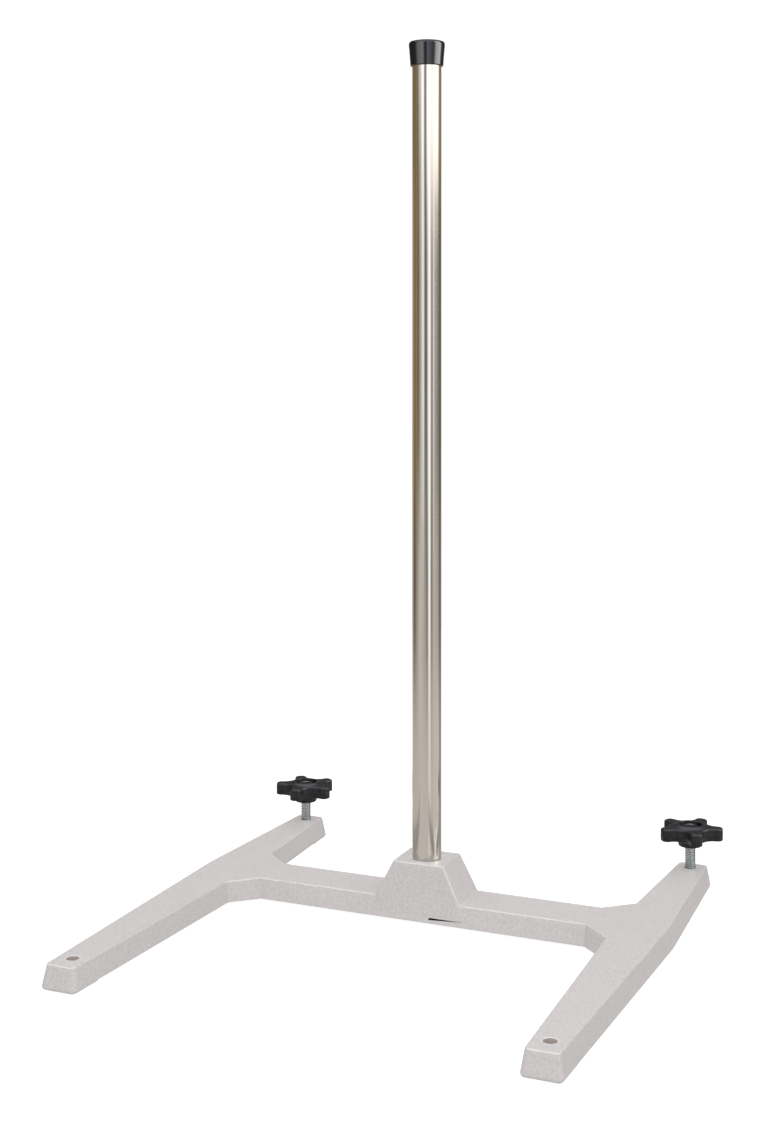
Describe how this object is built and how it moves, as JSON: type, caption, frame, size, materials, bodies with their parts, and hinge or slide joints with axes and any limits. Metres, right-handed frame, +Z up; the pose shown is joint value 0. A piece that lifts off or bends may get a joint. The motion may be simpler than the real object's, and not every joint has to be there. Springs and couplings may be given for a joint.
{
  "type": "retort stand",
  "caption": "Heavy laboratory stand: H-shaped cast base with tapered boss, upright tube with soft cap, levelling knobs behind.",
  "frame": {"origin": "on the axis of the post, at the height of the bench under the pads", "axes": "+Z up along the post, +Y to the rear where the levelling knobs are, +X to the stand's right seen from the front"},
  "size_m": [0.4457, 0.4639, 0.7591],
  "materials": {
    "powder_coat": "light warm grey powder coat, fine texture, satin, over cast iron",
    "polished_tube": "polished stainless steel tube, faint lengthwise draw lines",
    "cap_vinyl": "glossy black soft vinyl",
    "black_steel": "black oxide on steel",
    "knob_plastic": "satin black moulded plastic",
    "zinc_plate": "bright zinc plate on steel, slightly bluish",
    "nylon": "natural nylon"
  },
  "bodies": {
    "stand": {"base_casting": "powder_coat", "post_tube": "polished_tube", "post_cap": "cap_vinyl", "lower_set_screw": "black_steel", "upper_set_screw": "black_steel"},
    "left_foot": {"left_foot": "nylon"},
    "left_knob": {"left_knob": "knob_plastic", "left_screw": "zinc_plate"},
    "right_foot": {"right_foot": "nylon"},
    "right_knob": {"right_knob": "knob_plastic", "right_screw": "zinc_plate"}
  },
  "joints": [
    {"name": "left_lift", "type": "slide", "parent": "stand", "child": "left_foot", "axis": [0, 0, 1], "range_m": [-0.0166, 0.0087]},
    {"name": "left_turn", "type": "hinge", "parent": "left_foot", "child": "left_knob", "pos_m": [-0.1942, 0.1584, 0.0196], "axis": [0, 0, 1], "range_deg": [-3795, 1995]},
    {"name": "right_lift", "type": "slide", "parent": "stand", "child": "right_foot", "axis": [0, 0, 1], "range_m": [-0.0182, 0.0071]},
    {"name": "right_turn", "type": "hinge", "parent": "right_foot", "child": "right_knob", "pos_m": [0.1942, 0.1584, 0.0196], "axis": [0, 0, 1], "range_deg": [-4155, 1635]}
  ],
  "couplings": [
    {"joint": "left_turn", "follows": "left_lift", "rad_per_m": 3957.9},
    {"joint": "right_turn", "follows": "right_lift", "rad_per_m": 3957.9}
  ]
}
